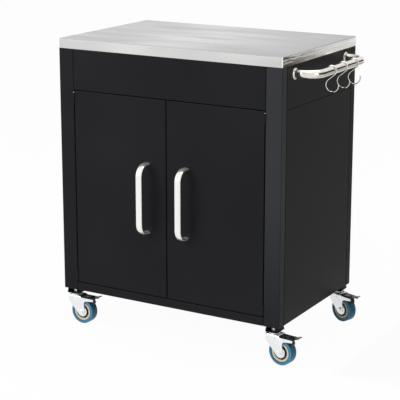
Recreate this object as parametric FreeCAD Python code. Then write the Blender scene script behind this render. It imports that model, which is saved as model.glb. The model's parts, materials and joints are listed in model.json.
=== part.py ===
import FreeCAD, Part
import math
import os

# Two-door storage cart with a steel worktop, a tubular side rail with hooks, and four swivel casters.
# Millimetres. +Z is up, the doors face -Y and the side rail is on the +X side.
# The origin lies on the floor, at the middle of the overall length and of the overall depth.

Vec = FreeCAD.Vector
x_axis = Vec(1, 0, 0)
y_axis = Vec(0, 1, 0)
z_axis = Vec(0, 0, 1)

# Cabinet
cabinet_width = 770.0
cabinet_depth = 500.0
body_height = 772.0           # bottom of the cabinet to the underside of the worktop
door_top = 644.0              # top of the doors above the bottom of the cabinet
panel_sheet = 0.8
panel_seam = 0.8              # visible joint between a post and the panel beside it
panel_edge = 1.4              # rounded fold round a panel's face
panel_flange = 11.0
back_hem = 3.0                # edge of the back panel, turned inwards
touch = 0.3                   # clearance between pieces that seat or pass close to each other

# Worktop
worktop_thickness = 30.0
worktop_sheet = 0.8
worktop_lip = 14.0            # fold under the edge of the board
worktop_corner = 3.0
worktop_edge = 1.6

# Corner posts
post_face = 52.0
post_side = 30.0
post_jamb = 20.0
post_lip = 12.0
post_sheet = 1.0
post_bend = 3.0
foot_sheet = 3.0
foot_inset = 13.0             # clears the flange of the side panel
foot_size = 50.0

# Base pan, fixed front panel, side bands and shelf
base_height = 26.0
base_notch = 52.0
base_back_gap = 13.0
apron_flange = 36.0
band_flange = 28.0            # wide enough for the worktop screws
shelf_height = 318.0          # top of the shelf above the base pan
shelf_flange = 20.0
shelf_margin = 36.0           # front and back gap that clears the posts
shelf_rail_leg = 16.0
shelf_rail_sheet = 1.5

# Doors and their butt hinges
door_thickness = 18.0
door_sheet = 0.8
door_edge = 2.0
door_gap = 2.5                # above and below a door
liner_flange = 8.0
hinge_gap = 3.0               # beside and between the doors
leaf_sheet = 1.2
leaf_depth = 16.0
hinge_height = 30.0
hinge_inset = 21.0            # middle of a hinge to the end of the door
barrel_radius = 3.0
barrel_proud = 0.5            # hinge axis in front of the door's face
pin_radius = 1.5
pin_head_radius = 2.4
pin_head = 1.0
running = 0.05                # radial clearance of a pin, axle or pivot

# Bow handles
handle_reach = 51.0
handle_length = 222.0
handle_height = 337.0         # middle of a handle above the bottom of the cabinet
handle_offset = 68.0          # handle to the middle of the cabinet
handle_width = 20.5
handle_depth = 8.0
handle_bend = 34.0
handle_screw_radius = 2.0
handle_screw_bite = 9.0       # screw length inside the handle
screw_head_radius = 4.2
screw_head = 2.4

# Magnetic catch and strikes
catch_width = 54.0
catch_depth = 15.0
catch_height = 13.0
catch_corner = 1.5
catch_groove = 2.0            # depth and height of the groove between the pole plates
strike_width = 20.0
strike_height = 10.0
strike_sheet = 1.5
strike_inset = 4.0            # strike to the free edge of the door

# Side rail and S-hooks
rail_reach = 67.0             # side of the cabinet to the rail's axis
rail_radius = 12.5
rail_wall = 1.5
rail_spacing = 345.0
rail_bend = 48.0
rail_drop = 26.5              # rail axis below the worktop's underside
rail_plug = 8.0
flange_radius = 17.0
flange_height = 5.0
rail_bolt_radius = 4.0
rail_bolt_head = 6.5
rail_bolt_head_height = 5.3
rail_bolt_bite = 6.0
hook_first = 182.0            # first hook behind the front of the cabinet
hook_pitch = 78.0
hook_count = 3
hook_wire_radius = 1.75
hook_loop_radius = 20.0
hook_loop_drop = 43.0
hook_loop_shift = 1.65        # brings the weight of the hook under the rail
hook_start_angle = 200.0
hook_end_angle = 375.0

# Worktop screws
worktop_screw_radius = 2.2
worktop_screw_bite = 16.0
worktop_screw_inset = 8.0
worktop_screw_head_radius = 4.4
worktop_screw_head = 2.2

# Casters
caster_inset = 28.0           # swivel axis to the sides of the cabinet
caster_turns = {"front_left": 0.0, "front_right": -7.0, "back_left": -12.0, "back_right": -20.0}
trail = 29.0
wheel_radius = 40.0
wheel_width = 31.0
wheel_headroom = 10.5         # top of the wheel to the underside of the crown
rim_radius = 29.5
rim_ring_radius = 23.0
rim_hub_radius = 11.0
rim_half_width = 13.0
rim_web = 8.0
rim_draft = 1.0
tyre_shoulder = 5.0
tyre_lip = 1.5
bracket_size = 44.0
bracket_top = 34.0            # its sides lean in towards the foot of the post
bracket_height = 18.0
bracket_sheet = 2.0
bracket_flange = 7.0
bracket_bend = 3.0
stem_radius = 5.0
stem_length = 11.0
nut_flats = 17.0
nut_height = 8.0
head_radius = 18.0
head_height = 4.7
head_rim = 2.0
kingpin_flare_radius = 8.0
kingpin_flare = 3.0
fork_sheet = 2.5
fork_bend = 6.0
fork_nose = 14.0              # front corners in plan
fork_play = 1.5               # wheel to each cheek of the fork
crown_front = 26.0            # swivel axis to the front of the fork
crown_length = 20.0
fork_front_drop = 13.0        # straight front of a cheek, below the top of the crown
fork_end_radius = 13.0
horn_start = 30.0             # horns of the cheeks reach back on both sides of the pedal
horn_reach = 74.0
horn_end = 7.0
horn_waist = 37.0             # inner corner of the arch over the wheel
horn_arch = 17.0              # that corner below the top of the crown
horn_arch_radius = 11.0
horn_corner = 1.8
axle_radius = 4.0
axle_flats = 13.0
axle_head = 5.0
cover_radius = 17.0
cover_rim = 1.2

# Brake pedal
pedal_pivot_x = 14.0
pedal_pivot_drop = 9.0        # below the top of the crown
pedal_pin_radius = 2.5
pedal_eye_radius = 5.0
pedal_width = 30.0
pedal_sheet = 2.5
pedal_reach = 90.0
pedal_drop = 3.5              # plate below the top of the crown
pedal_start = 17.0
pedal_tip_rise = 6.0
pedal_tip_length = 18.0
pedal_cheek_end = 30.0
pedal_window_start = 36.0
pedal_window_length = 17.0
pedal_window_width = 20.0
pedal_travel = 7.0            # degrees, from free to braked
shoe_start = 53.5
shoe_top = 8.0                # its length where it meets the plate
shoe_end = 67.0
shoe_heel = 7.0
shoe_width = 18.0
shoe_drop = 27.0              # block that the tyre's shape is cut from

# Places that follow from the sizes
side_reach = rail_reach + hook_loop_shift + hook_loop_radius + hook_wire_radius
x_left = -(cabinet_width + side_reach) / 2
x_right = x_left + cabinet_width
x_middle = (x_left + x_right) / 2
y_front = (handle_reach - cabinet_depth) / 2
y_back = y_front + cabinet_depth
crown_top = 2 * wheel_radius + wheel_headroom + fork_sheet
caster_height = crown_top + touch + head_height
z_bottom = caster_height + bracket_height
z_under_top = z_bottom + body_height
z_top = z_under_top + worktop_thickness
z_base = z_bottom + base_height
z_door_low = z_base + door_gap
z_door_high = z_bottom + door_top
z_seam = z_door_high + door_gap
z_shelf = z_base + shelf_height
z_rail = z_under_top - rail_drop
x_rail = x_right + rail_reach
y_rail_front = (y_front + y_back - rail_spacing) / 2
y_rail_back = y_rail_front + rail_spacing
door_width = (cabinet_width - 2 * post_face - 3 * hinge_gap) / 2
fork_half_gap = wheel_width / 2 + fork_play
fork_half_width = fork_half_gap + fork_sheet
pedal_pivot_z = crown_top - pedal_pivot_drop
pedal_top = crown_top - pedal_drop
shoe_bottom = crown_top - shoe_drop


def box(x, y, z):
    """Box between two corners, given as pairs of lowest and highest coordinates."""
    return Part.makeBox(x[1] - x[0], y[1] - y[0], z[1] - z[0], Vec(x[0], y[0], z[0]))


def fused(shapes):
    """One solid made of shapes that touch or overlap."""
    return shapes[0].multiFuse(shapes[1:]).removeSplitter()


def edges_at(shape, axis, value):
    """Edges that lie wholly in the plane where the coordinate along axis has this value."""
    def lies_in_plane(edge):
        return all(abs(vertex.Point.dot(axis) - value) < 1e-6 for vertex in edge.Vertexes)
    return [edge for edge in shape.Edges if lies_in_plane(edge)]


def upright_edges(shape):
    """Edges that run straight up."""
    return [edge for edge in shape.Edges
            if len(edge.Vertexes) == 2
            and (edge.Vertexes[0].Point - edge.Vertexes[1].Point).cross(z_axis).Length < 1e-6]


def offset_points(points, distance, normal):
    """Points moved to the left of the way they are walked, with mitred corners."""
    moved = []
    for i, point in enumerate(points):
        sides = []
        if i > 0:
            sides.append(normal.cross((point - points[i - 1]).normalize()))
        if i < len(points) - 1:
            sides.append(normal.cross((points[i + 1] - point).normalize()))
        total = sides[0] + sides[-1]
        moved.append(point + total * (distance / total.dot(sides[0])))
    return moved


def rounded_path(points, radii):
    """Straight edges through the points, with an arc at each inner point."""
    edges = []
    start = points[0]
    for i in range(1, len(points) - 1):
        corner = points[i]
        back = (points[i - 1] - corner).normalize()
        ahead = (points[i + 1] - corner).normalize()
        half = back.getAngle(ahead) / 2
        cut = radii[i - 1] / math.tan(half)
        depth = radii[i - 1] / math.sin(half) - radii[i - 1]
        entry = corner + back * cut
        leave = corner + ahead * cut
        edges.append(Part.LineSegment(start, entry).toShape())
        edges.append(Part.Arc(entry, corner + (back + ahead).normalize() * depth, leave).toShape())
        start = leave
    edges.append(Part.LineSegment(start, points[-1]).toShape())
    return edges


def bent_sheet(points, sheet, bend, normal, run):
    """Folded sheet. Points give its outer line, the sheet lies to their left, bend is the larger radius."""
    inner = offset_points(points, sheet, normal)
    outer_radii = []
    inner_radii = []
    for i in range(1, len(points) - 1):
        turn = (points[i] - points[i - 1]).cross(points[i + 1] - points[i]).dot(normal)
        outer_radii.append(bend if turn > 0 else bend - sheet)
        inner_radii.append(bend - sheet if turn > 0 else bend)
    edges = rounded_path(points, outer_radii)
    edges.append(Part.LineSegment(points[-1], inner[-1]).toShape())
    edges += rounded_path(inner[::-1], inner_radii[::-1])
    edges.append(Part.LineSegment(inner[0], points[0]).toShape())
    return Part.Face(Part.Wire(edges)).extrude(run)


def prism(points, run):
    """Straight prism over a polygon."""
    return Part.Face(Part.makePolygon(points + [points[0]])).extrude(run)


def turned(points, centre, axis, across):
    """Solid of revolution. Each point is (radius, position along the axis)."""
    places = [centre + across * radius + axis * position for radius, position in points]
    return Part.Face(Part.makePolygon(places + [places[0]])).revolve(centre, axis, 360)


def pan(x, y, z, face, sheet, edge, through_bottom=False):
    """Folded panel: a face with flanges on its four sides, open behind. face is such as "-y"."""
    whole = box(x, y, z)
    number = "xyz".index(face[1])
    axis = (x_axis, y_axis, z_axis)[number]
    front, back = (0, 1) if face[0] == "-" else (1, 0)
    whole = whole.makeFillet(edge, edges_at(whole, axis, (x, y, z)[number][front]))
    inner = [[low + sheet, high - sheet] for low, high in (x, y, z)]
    if through_bottom:
        inner[2][0] = z[0] - sheet
    inner[number][back] += 2 * sheet if back == 1 else -2 * sheet
    cavity = box(*inner)
    cavity = cavity.makeFillet(edge - sheet, edges_at(cavity, axis, inner[number][front]))
    return whole.cut(cavity)


def hexagon(flats, place, run, across):
    """Hexagonal prism that starts at place. run is its length, across a unit vector to a corner."""
    corner = flats / math.sqrt(3)
    other = run.cross(across).normalize()
    turns = [math.radians(60 * i) for i in range(6)]
    points = [place + (across * math.cos(turn) + other * math.sin(turn)) * corner for turn in turns]
    return prism(points, run)


def mirrored_x(shape):
    """Mirror image on the other side of the cabinet's middle."""
    return shape.mirror(Vec(x_middle, 0, 0), x_axis)


def mirrored_y(shape):
    """Mirror image from front to back of the cabinet."""
    return shape.mirror(Vec(0, (y_front + y_back) / 2, 0), y_axis)


# Worktop

def worktop_skin():
    whole = box((x_left, x_right), (y_front, y_back), (z_under_top, z_top))
    whole = whole.makeFillet(worktop_corner, upright_edges(whole))
    whole = whole.makeFillet(worktop_edge, edges_at(whole, z_axis, z_top))
    inner_x = (x_left + worktop_sheet, x_right - worktop_sheet)
    inner_y = (y_front + worktop_sheet, y_back - worktop_sheet)
    cavity = box(inner_x, inner_y, (z_under_top + worktop_sheet, z_top - worktop_sheet))
    cavity = cavity.makeFillet(worktop_corner - worktop_sheet, upright_edges(cavity))
    opening = box((x_left + worktop_lip, x_right - worktop_lip),
                  (y_front + worktop_lip, y_back - worktop_lip),
                  (z_under_top - worktop_sheet, z_under_top + 2 * worktop_sheet))
    return whole.cut(cavity).cut(opening)


def worktop_board():
    side = worktop_sheet + touch
    board = box((x_left + side, x_right - side), (y_front + side, y_back - side),
                (z_under_top + worktop_sheet, z_top - worktop_sheet - touch))
    board = board.makeFillet(worktop_corner, upright_edges(board))
    for x, y in worktop_screw_places():
        board = board.cut(worktop_screw(x, y))
    return board


def worktop_screw_places():
    """Screws pass up through the top flanges of the side bands."""
    inset = worktop_lip + worktop_screw_head_radius + touch
    xs = (x_left + inset, x_right - inset)
    reach = cabinet_depth / 2 - post_side - 3 * worktop_screw_inset
    middle = (y_front + y_back) / 2
    return [(x, y) for x in xs for y in (middle - reach, middle, middle + reach)]


def worktop_screw(x, y):
    """Pan-head screw under the top flange, its tip inside the board."""
    under = z_under_top - panel_sheet
    profile = [(0, -worktop_screw_head), (worktop_screw_head_radius, -worktop_screw_head),
               (worktop_screw_head_radius, 0), (worktop_screw_radius, 0),
               (worktop_screw_radius, worktop_screw_bite - worktop_screw_radius), (0, worktop_screw_bite)]
    return turned(profile, Vec(x, y, under), z_axis, x_axis)


# Cabinet shell

def corner_post():
    """Folded front left post with the plate that carries a caster."""
    lip = Vec(x_left + post_lip, y_front + post_side, z_bottom)
    points = [lip, Vec(x_left, lip.y, z_bottom), Vec(x_left, y_front, z_bottom),
              Vec(x_left + post_face, y_front, z_bottom),
              Vec(x_left + post_face, y_front + post_jamb, z_bottom)]
    section = bent_sheet(points, post_sheet, post_bend, z_axis, Vec(0, 0, body_height))
    foot = box((x_left + foot_inset, x_left + post_face - post_sheet),
               (y_front + post_sheet, y_front + foot_size), (z_bottom, z_bottom + foot_sheet))
    return fused([section, foot])


def front_post():
    post = corner_post()
    for z in hinge_middles():
        post = post.cut(hinge_room(z))
    return post


def base_pan():
    """Floor of the cabinet. Its front flange is the rail under the doors."""
    x = (x_left + panel_sheet, x_right - panel_sheet)
    y = (y_front, y_back - base_back_gap)
    side = post_face + panel_seam - panel_sheet
    front = base_notch
    back = base_notch - base_back_gap
    points = [(x[0] + side, y[0]), (x[1] - side, y[0]), (x[1] - side, y[0] + front), (x[1], y[0] + front),
              (x[1], y[1] - back), (x[1] - side, y[1] - back), (x[1] - side, y[1]), (x[0] + side, y[1]),
              (x[0] + side, y[1] - back), (x[0], y[1] - back), (x[0], y[0] + front),
              (x[0] + side, y[0] + front)]
    corners = [Vec(px, py, z_bottom) for px, py in points]
    outline = Part.Face(Part.makePolygon(corners + [corners[0]]))
    whole = outline.extrude(Vec(0, 0, base_height))
    front_fold = [edge for edge in edges_at(whole, y_axis, y_front) if edge.CenterOfMass.z > z_base - 1e-6]
    whole = whole.makeFillet(panel_edge, front_fold)
    inner = outline.makeOffset2D(-panel_sheet).extrude(Vec(0, 0, base_height - panel_sheet))
    return whole.cut(inner)


def front_apron():
    side = post_face + panel_seam
    return pan((x_left + side, x_right - side), (y_front, y_front + apron_flange), (z_seam, z_under_top),
               "-y", panel_sheet, panel_edge)


def side_band(bolt_holes):
    y = (y_front + post_side + panel_seam, y_back - post_side - panel_seam)
    band = pan((x_left, x_left + band_flange), y, (z_seam, z_under_top), "-x", panel_sheet, panel_edge)
    for x, place_y in worktop_screw_places():
        band = band.cut(Part.makeCylinder(worktop_screw_radius + running, 3 * panel_sheet,
                                          Vec(x, place_y, z_under_top - 2 * panel_sheet)))
    if bolt_holes:
        band = mirrored_x(band)
        for place_y in (y_rail_front, y_rail_back):
            band = band.cut(Part.makeCylinder(rail_bolt_radius + running, 3 * panel_sheet,
                                              Vec(x_right - 2 * panel_sheet, place_y, z_rail), x_axis))
    return band


def side_panel():
    y = (y_front + post_side + panel_seam, y_back - post_side - panel_seam)
    return pan((x_left, x_left + panel_flange), y, (z_bottom, z_seam - panel_seam),
               "-x", panel_sheet, panel_edge, through_bottom=True)


def back_panel():
    side = post_face + panel_seam
    return pan((x_left + side, x_right - side), (y_back - back_hem, y_back), (z_bottom, z_under_top),
               "+y", panel_sheet, panel_edge, through_bottom=True)


def inner_shelf():
    x = (x_left + panel_sheet + touch, x_right - panel_sheet - touch)
    return pan(x, (y_front + shelf_margin, y_back - shelf_margin), (z_shelf - shelf_flange, z_shelf),
               "+z", panel_sheet, panel_edge)


def shelf_rail():
    """Angle on a side panel that carries an end of the shelf."""
    under = z_shelf - shelf_flange
    y = y_front + shelf_margin
    wall = x_left + panel_sheet
    points = [Vec(wall + shelf_rail_leg, y, under), Vec(wall, y, under),
              Vec(wall, y, under - shelf_rail_leg)]
    run = Vec(0, cabinet_depth - 2 * shelf_margin, 0)
    return bent_sheet(points, shelf_rail_sheet, 2 * shelf_rail_sheet, -y_axis, run)


# Doors, in the place of the left one

def hinge_axis():
    return Vec(x_left + post_face + hinge_gap / 2, y_front - barrel_proud, 0)


def hinge_middles():
    return (z_door_low + hinge_inset, z_door_high - hinge_inset)


def hinge_room(z):
    """Round notch that clears the barrel of a hinge."""
    low = hinge_axis() + Vec(0, 0, z - hinge_height / 2 - pin_head - touch)
    return Part.makeCylinder(barrel_radius + touch, hinge_height + 2 * (pin_head + touch), low)


def door_x():
    start = x_left + post_face + hinge_gap
    return (start, start + door_width)


def handle_x():
    return x_middle - handle_offset


def handle_foot_heights():
    middle = z_bottom + handle_height
    reach = (handle_length - handle_depth) / 2
    return (middle - reach, middle + reach)


def handle_screw_hole(z, radius, y_low, y_high):
    return Part.makeCylinder(radius, y_high - y_low, Vec(handle_x(), y_low, z), y_axis)


def door_skin():
    skin = pan(door_x(), (y_front, y_front + door_thickness), (z_door_low, z_door_high),
               "-y", door_sheet, door_edge)
    for z in hinge_middles():
        skin = skin.cut(hinge_room(z))
    for z in handle_foot_heights():
        skin = skin.cut(handle_screw_hole(z, handle_screw_radius + running, y_front - 1,
                                          y_front + 2 * door_sheet))
    return skin


def door_liner():
    """Inner sheet, its flanges turned into the skin."""
    side = door_sheet + touch
    x = (door_x()[0] + side, door_x()[1] - side)
    z = (z_door_low + side, z_door_high - side)
    liner = pan(x, (y_front + door_thickness - liner_flange, y_front + door_thickness), z,
                "+y", door_sheet, panel_edge)
    for height in handle_foot_heights():
        liner = liner.cut(handle_screw_hole(height, handle_screw_radius + running,
                                            y_front + door_thickness - 2 * door_sheet,
                                            y_front + door_thickness + 1))
    return liner


def door_handle():
    """Flat oval bar bent back to the door at both ends."""
    low, high = handle_foot_heights()
    bar_y = y_front - handle_reach + handle_depth / 2
    points = [Vec(handle_x(), y_front, low), Vec(handle_x(), bar_y, low),
              Vec(handle_x(), bar_y, high), Vec(handle_x(), y_front, high)]
    path = Part.Wire(rounded_path(points, (handle_bend, handle_bend)))
    round_end = handle_depth / 2
    flat = handle_width / 2 - round_end
    ends = [(-flat, -1), (flat, 1)]
    section = []
    for x, outward in ends:
        bottom = points[0] + Vec(x, 0, -outward * round_end)
        tip = points[0] + Vec(x + outward * round_end, 0, 0)
        top = points[0] + Vec(x, 0, outward * round_end)
        section.append(Part.Arc(bottom, tip, top).toShape())
    section.insert(1, Part.LineSegment(points[0] + Vec(-flat, 0, -round_end),
                                       points[0] + Vec(flat, 0, -round_end)).toShape())
    section.append(Part.LineSegment(points[0] + Vec(flat, 0, round_end),
                                    points[0] + Vec(-flat, 0, round_end)).toShape())
    bar = path.makePipeShell([Part.Wire(Part.__sortEdges__(section))], True, False)
    for z in (low, high):
        bar = bar.cut(handle_screw_hole(z, handle_screw_radius + running,
                                        y_front - handle_screw_bite - 1, y_front + 1))
    return bar


def handle_screws():
    """Screws from inside the door, their heads on the liner."""
    back = y_front + door_thickness
    profile = [(0, screw_head), (0.6 * screw_head_radius, screw_head), (screw_head_radius, 0.4 * screw_head),
               (screw_head_radius, 0), (handle_screw_radius, 0),
               (handle_screw_radius, -door_thickness - handle_screw_bite),
               (0, -door_thickness - handle_screw_bite)]
    return [turned(profile, Vec(handle_x(), back, z), y_axis, x_axis) for z in handle_foot_heights()]


def knuckle_heights(z):
    """Lowest and highest points of the three knuckles of a hinge, from the bottom up."""
    third = hinge_height / 3
    low = z - hinge_height / 2
    return [(low, low + third), (low + third + touch, low + 2 * third - touch),
            (low + 2 * third, low + hinge_height)]


def hinge_leaf(z, own, side):
    """Leaf with its own knuckles. side is -1 on the post and 1 on the door."""
    axis = hinge_axis()
    edge = axis.x + side * hinge_gap / 2
    x = sorted((edge, edge - side * leaf_sheet))
    heights = knuckle_heights(z)
    start = axis.y + barrel_radius + touch
    pieces = [box(x, (start, y_front + leaf_depth), (heights[0][0], heights[2][1]))]
    for index in own:
        low, high = heights[index]
        pieces.append(Part.makeCylinder(barrel_radius, high - low, Vec(axis.x, axis.y, low)))
        pieces.append(box(x, (axis.y, start + 1), (low, high)))
    bore = Part.makeCylinder(pin_radius + running, hinge_height + 2, Vec(axis.x, axis.y, heights[0][0] - 1))
    return fused(pieces).cut(bore)


def frame_leaves():
    return [hinge_leaf(z, (0, 2), -1) for z in hinge_middles()]


def door_leaves():
    return [hinge_leaf(z, (1,), 1) for z in hinge_middles()]


def hinge_pins():
    """Headed pins, held by the knuckles of the post's leaves."""
    half = hinge_height / 2
    profile = [(0, -half - pin_head), (pin_radius, -half - pin_head), (pin_head_radius, -half - pin_head / 2),
               (pin_head_radius, -half), (pin_radius, -half), (pin_radius, half), (pin_head_radius, half),
               (pin_head_radius, half + pin_head / 2), (pin_radius, half + pin_head), (0, half + pin_head)]
    return [turned(profile, hinge_axis() + Vec(0, 0, z), z_axis, x_axis) for z in hinge_middles()]


def strike():
    """Steel plate on the liner that meets the magnetic catch."""
    free_edge = door_x()[1]
    back = y_front + door_thickness
    top = z_seam - (catch_height - strike_height) / 2 - door_gap
    return box((free_edge - strike_inset - strike_width, free_edge - strike_inset),
               (back, back + strike_sheet), (top - strike_height, top))


def magnetic_catch():
    """Twin catch under the apron, one pair of pole plates for each door."""
    front = y_front + door_thickness + strike_sheet + touch
    body = box((x_middle - catch_width / 2, x_middle + catch_width / 2), (front, front + catch_depth),
               (z_seam - catch_height, z_seam))
    body = body.makeChamfer(catch_corner, upright_edges(body))
    groove = box((x_middle - catch_width, x_middle + catch_width), (front - 1, front + catch_groove),
                 (z_seam - (catch_height + catch_groove) / 2, z_seam - (catch_height - catch_groove) / 2))
    return body.cut(groove)


# Side rail

def rail_points(start):
    """Corners of the rail's axis. start is the distance of its ends from the side band."""
    return [Vec(x_right + start, y_rail_front, z_rail), Vec(x_rail, y_rail_front, z_rail),
            Vec(x_rail, y_rail_back, z_rail), Vec(x_right + start, y_rail_back, z_rail)]


def rail_sweep(start, radius):
    points = rail_points(start)
    path = Part.Wire(rounded_path(points, (rail_bend, rail_bend)))
    section = Part.Wire(Part.makeCircle(radius, points[0], x_axis))
    return path.makePipeShell([section], True, False)


def side_rail():
    """Bent tube with a plug in each end for the bolt."""
    tube = rail_sweep(0, rail_radius).cut(rail_sweep(rail_plug, rail_radius - rail_wall))
    for y in (y_rail_front, y_rail_back):
        tube = tube.cut(Part.makeCylinder(rail_bolt_radius + running, rail_bolt_bite + 1,
                                          Vec(x_right - 1, y, z_rail), x_axis))
    return tube


def rail_flanges():
    bore = rail_radius + running
    profile = [(bore, 0), (flange_radius, 0), (flange_radius, 0.4 * flange_height),
               (flange_radius - 0.35 * flange_height, 0.85 * flange_height),
               (bore + 0.3 * flange_height, flange_height), (bore, flange_height)]
    return [turned(profile, Vec(x_right, y, z_rail), x_axis, z_axis) for y in (y_rail_front, y_rail_back)]


def rail_bolts():
    """Bolts from inside the side band."""
    under = x_right - panel_sheet
    bolts = []
    for y in (y_rail_front, y_rail_back):
        profile = [(0, -rail_bolt_head_height), (0.8 * rail_bolt_head, -rail_bolt_head_height),
                   (rail_bolt_head, -0.6 * rail_bolt_head_height), (rail_bolt_head, 0),
                   (rail_bolt_radius, 0), (rail_bolt_radius, panel_sheet + rail_bolt_bite - touch),
                   (0, panel_sheet + rail_bolt_bite - touch)]
        bolts.append(turned(profile, Vec(under, y, z_rail), x_axis, z_axis))
    return bolts


def arc_point(centre, radius, angle):
    turn = math.radians(angle)
    return centre + Vec(radius * math.cos(turn), 0, radius * math.sin(turn))


def arc_between(centre, radius, start, end):
    return Part.Arc(arc_point(centre, radius, start), arc_point(centre, radius, (start + end) / 2),
                    arc_point(centre, radius, end)).toShape()


def s_hook(y):
    """Wire hook: its upper bend lies round the rail and its lower loop hangs below."""
    upper = Vec(x_rail, y, z_rail)
    upper_radius = rail_radius + touch + hook_wire_radius
    lower = upper + Vec(hook_loop_shift, 0, -hook_loop_drop)
    line = math.degrees(math.atan2(-hook_loop_drop, hook_loop_shift))
    distance = math.hypot(hook_loop_drop, hook_loop_shift)
    lean = math.degrees(math.acos((upper_radius + hook_loop_radius) / distance))
    leave = line + lean
    arrive = line + 180 + lean
    edges = [arc_between(upper, upper_radius, hook_start_angle, leave),
             Part.LineSegment(arc_point(upper, upper_radius, leave),
                              arc_point(lower, hook_loop_radius, arrive)).toShape(),
             arc_between(lower, hook_loop_radius, arrive, hook_end_angle)]
    start = arc_point(upper, upper_radius, hook_start_angle)
    turn = math.radians(hook_start_angle)
    along = Vec(math.sin(turn), 0, -math.cos(turn))
    section = Part.Wire(Part.makeCircle(hook_wire_radius, start, along))
    wire = Part.Wire(edges).makePipeShell([section], True, False)
    finish = arc_point(lower, hook_loop_radius, hook_end_angle)
    ends = [edge for edge in wire.Edges if edge.Closed
            and min((edge.CenterOfMass - start).Length, (edge.CenterOfMass - finish).Length) < 0.01]
    return wire.makeFillet(0.6 * hook_wire_radius, ends).Solids[0]


# Casters, drawn with the swivel axis at the origin and the wheel trailing towards +X

def caster_places():
    """Swivel axis of each caster on the floor, with its name."""
    xs = {"left": x_left + caster_inset, "right": x_right - caster_inset}
    ys = {"front": y_front + caster_inset, "back": y_back - caster_inset}
    return {row + "_" + side: Vec(xs[side], ys[row], 0) for row in ys for side in xs}


def placed(shape, corner):
    """Shape turned about its swivel axis and moved to its corner."""
    moved = shape.copy()
    moved.rotate(Vec(0, 0, 0), z_axis, caster_turns[corner])
    moved.translate(caster_places()[corner])
    return moved


def caster_bracket():
    """Channel between the post and the caster, open to the front and back, its flanges turned inwards."""
    half = bracket_size / 2
    top = caster_height + bracket_height
    upper = bracket_top / 2
    inner = upper - bracket_flange
    points = [Vec(-inner, -half, top), Vec(-upper, -half, top), Vec(-half, -half, caster_height),
              Vec(half, -half, caster_height), Vec(upper, -half, top), Vec(inner, -half, top)]
    channel = bent_sheet(points, bracket_sheet, bracket_bend, -y_axis, Vec(0, bracket_size, 0))
    return channel.cut(Part.makeCylinder(stem_radius + running, 4 * bracket_sheet,
                                     Vec(0, 0, caster_height - bracket_sheet)))


def caster_head():
    """Fixed head: threaded stem, upper race and kingpin with its flared end."""
    under_crown = crown_top - fork_sheet - touch
    profile = [(0, under_crown - kingpin_flare), (kingpin_flare_radius, under_crown - kingpin_flare),
               (kingpin_flare_radius, under_crown - 0.4 * kingpin_flare), (stem_radius + 1, under_crown),
               (stem_radius, under_crown), (stem_radius, crown_top + touch),
               (head_radius - head_rim, crown_top + touch),
               (head_radius, crown_top + touch), (head_radius, crown_top + touch + 0.45 * head_height),
               (head_radius - 0.6 * head_rim, caster_height - 0.25 * head_height),
               (head_radius - 2 * head_rim, caster_height), (stem_radius, caster_height),
               (stem_radius, caster_height + stem_length - 1), (stem_radius - 1, caster_height + stem_length),
               (0, caster_height + stem_length)]
    return turned(profile, Vec(0, 0, 0), z_axis, x_axis)


def caster_nut():
    """Hexagonal nut on the stem, its corners turned off at both faces."""
    seat = Vec(0, 0, caster_height + bracket_sheet)
    face = nut_flats / 2
    corner = nut_flats / math.sqrt(3)
    fall = (corner - face) / 2
    crown = turned([(0, 0), (face, 0), (corner, fall), (corner, nut_height - fall), (face, nut_height),
                    (0, nut_height)], seat, z_axis, x_axis)
    nut = hexagon(nut_flats, seat, Vec(0, 0, nut_height), x_axis).common(crown)
    return nut.cut(Part.makeCylinder(stem_radius + running, 3 * nut_height, Vec(0, 0, caster_height)))


def tangent_angle(centre, radius, point, side):
    """Angle on a circle in the XZ plane at which a line from point touches it."""
    toward = point - centre
    base = math.degrees(math.atan2(toward.z, toward.x))
    return base + side * math.degrees(math.acos(radius / toward.Length))


def fork_silhouette():
    """Side view of the fork: crown, horns beside the pedal, arch over the wheel and cheeks to the axle."""
    axle = Vec(trail, 0, wheel_radius)
    front_low = Vec(-crown_front, 0, crown_top - fork_front_drop)
    waist = Vec(horn_waist, 0, crown_top - horn_arch)
    right = tangent_angle(axle, fork_end_radius, waist, -1)
    left = tangent_angle(axle, fork_end_radius, front_low, 1)
    right_point = arc_point(axle, fork_end_radius, right)
    left_point = arc_point(axle, fork_end_radius, left)
    bottom = arc_point(axle, fork_end_radius, (right + left - 360) / 2)
    horn_top = crown_top - fork_bend
    over = crown_top + fork_bend
    corners = [left_point, front_low, Vec(-crown_front - fork_bend, 0, over),
               Vec(2 * crown_length - horn_start, 0, over), Vec(horn_start, 0, horn_top),
               Vec(horn_reach, 0, horn_top), Vec(horn_reach, 0, horn_top - horn_end), waist, right_point]
    radii = [horn_arch_radius] + [horn_corner] * 5 + [horn_arch_radius]
    edges = rounded_path(corners, radii)
    edges.append(Part.Arc(right_point, bottom, left_point).toShape())
    face = Part.Face(Part.Wire(edges))
    face.translate(Vec(0, -2 * fork_half_width, 0))
    return face.extrude(Vec(0, 4 * fork_half_width, 0))


def fork_block(inset):
    """Block with a rounded nose and rounded top edges, its faces set in by inset."""
    half = fork_half_width - inset
    top = crown_top - inset
    block = box((inset - crown_front, 2 * horn_reach), (-half, half), (0, top))
    nose = [edge for edge in upright_edges(block) if edge.CenterOfMass.x < 0]
    block = block.makeFillet(fork_nose - inset, nose)
    rim = [edge for edge in edges_at(block, z_axis, top) if edge.CenterOfMass.x < horn_reach]
    return block.makeFillet(fork_bend - inset, rim)


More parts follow.
